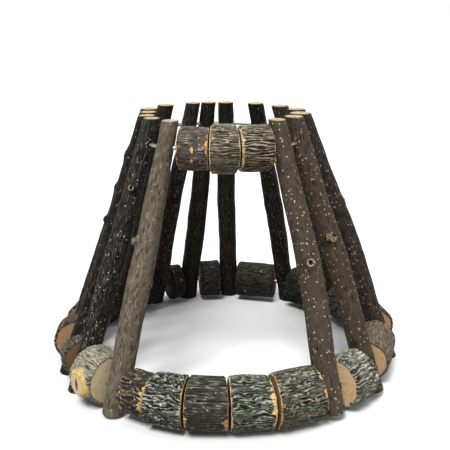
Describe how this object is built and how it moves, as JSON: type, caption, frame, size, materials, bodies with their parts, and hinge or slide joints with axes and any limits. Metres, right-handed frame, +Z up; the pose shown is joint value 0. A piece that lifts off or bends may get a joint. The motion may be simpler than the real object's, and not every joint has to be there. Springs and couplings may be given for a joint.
{
  "type": "wooden hamster house",
  "caption": "Cone-shaped small-pet house of leaning branch sticks and log slices strung on two steel wire rings, with an open top and a log-framed doorway.",
  "frame": {"origin": "on the floor at the middle of the ring of sticks", "axes": "+Z up, the doorway faces -Y, +X to the right of a person who faces the doorway"},
  "size_m": [0.1816, 0.1809, 0.13],
  "materials": {
    "grey_tan_bark": "natural bark",
    "grey_brown_bark": "natural bark",
    "brown_bark": "natural bark",
    "purple_grey_bark": "natural bark",
    "dark_bark": "natural bark",
    "grey_green_bark": "natural bark",
    "wire": "dull galvanised wire"
  },
  "bodies": {
    "stick_frame": {"door_post_left": "grey_tan_bark", "door_post_right": "grey_brown_bark", "wall_stick_01": "brown_bark", "wall_stick_02": "purple_grey_bark", "wall_stick_03": "grey_brown_bark", "wall_stick_04": "brown_bark", "wall_stick_05": "dark_bark", "wall_stick_06": "grey_brown_bark", "wall_stick_07": "grey_brown_bark", "wall_stick_08": "purple_grey_bark", "wall_stick_09": "grey_brown_bark", "wall_stick_10": "brown_bark", "wall_stick_11": "dark_bark", "wall_stick_12": "dark_bark", "wall_stick_13": "dark_bark", "wall_log_01": "grey_green_bark", "wall_log_02": "grey_brown_bark", "wall_log_03": "brown_bark", "wall_log_04": "grey_green_bark", "wall_log_05": "grey_green_bark", "wall_log_06": "grey_brown_bark", "wall_log_07": "grey_green_bark", "wall_log_08": "brown_bark", "wall_log_09": "grey_green_bark", "wall_log_10": "grey_brown_bark", "wall_log_11": "grey_green_bark", "wall_log_12": "brown_bark", "wall_log_13": "brown_bark", "wall_log_14": "grey_green_bark", "lower_wire": "wire", "upper_wire": "wire"},
    "sill_log_1": {"sill_log_1": "brown_bark"},
    "sill_log_2": {"sill_log_2": "grey_green_bark"},
    "sill_log_3": {"sill_log_3": "dark_bark"},
    "sill_log_4": {"sill_log_4": "grey_green_bark"},
    "sill_log_5": {"sill_log_5": "grey_green_bark"},
    "lintel_log_1": {"lintel_log_1": "purple_grey_bark"},
    "lintel_log_2": {"lintel_log_2": "brown_bark"},
    "lintel_log_3": {"lintel_log_3": "brown_bark"}
  },
  "joints": [
    {"name": "sill_log_1_rock", "type": "hinge", "parent": "stick_frame", "child": "sill_log_1", "pos_m": [-0.04115, -0.06822, 0.0129], "axis": [0.8587, -0.5124, 0], "range_deg": [-12, 12]},
    {"name": "sill_log_2_rock", "type": "hinge", "parent": "stick_frame", "child": "sill_log_2", "pos_m": [-0.02503, -0.07554, 0.0129], "axis": [0.9565, -0.2917, 0], "range_deg": [-12, 12]},
    {"name": "sill_log_3_rock", "type": "hinge", "parent": "stick_frame", "child": "sill_log_3", "pos_m": [-0.00838, -0.07823, 0.0129], "axis": [0.9995, -0.0324, 0], "range_deg": [-12, 12]},
    {"name": "sill_log_4_rock", "type": "hinge", "parent": "stick_frame", "child": "sill_log_4", "pos_m": [0.01008, -0.0774, 0.0129], "axis": [0.9935, 0.1138, 0], "range_deg": [-12, 12]},
    {"name": "sill_log_5_rock", "type": "hinge", "parent": "stick_frame", "child": "sill_log_5", "pos_m": [0.03291, -0.07066, 0.0129], "axis": [0.9193, 0.3936, 0], "range_deg": [-12, 12]},
    {"name": "lintel_log_1_rock", "type": "hinge", "parent": "stick_frame", "child": "lintel_log_1", "pos_m": [-0.01828, -0.03666, 0.118], "axis": [0.9875, -0.1575, 0], "range_deg": [-12, 12]},
    {"name": "lintel_log_2_rock", "type": "hinge", "parent": "stick_frame", "child": "lintel_log_2", "pos_m": [-0.00182, -0.03797, 0.118], "axis": [0.9986, 0.0532, 0], "range_deg": [-12, 12]},
    {"name": "lintel_log_3_rock", "type": "hinge", "parent": "stick_frame", "child": "lintel_log_3", "pos_m": [0.01464, -0.03431, 0.118], "axis": [0.9515, 0.3076, 0], "range_deg": [-12, 12]}
  ]
}
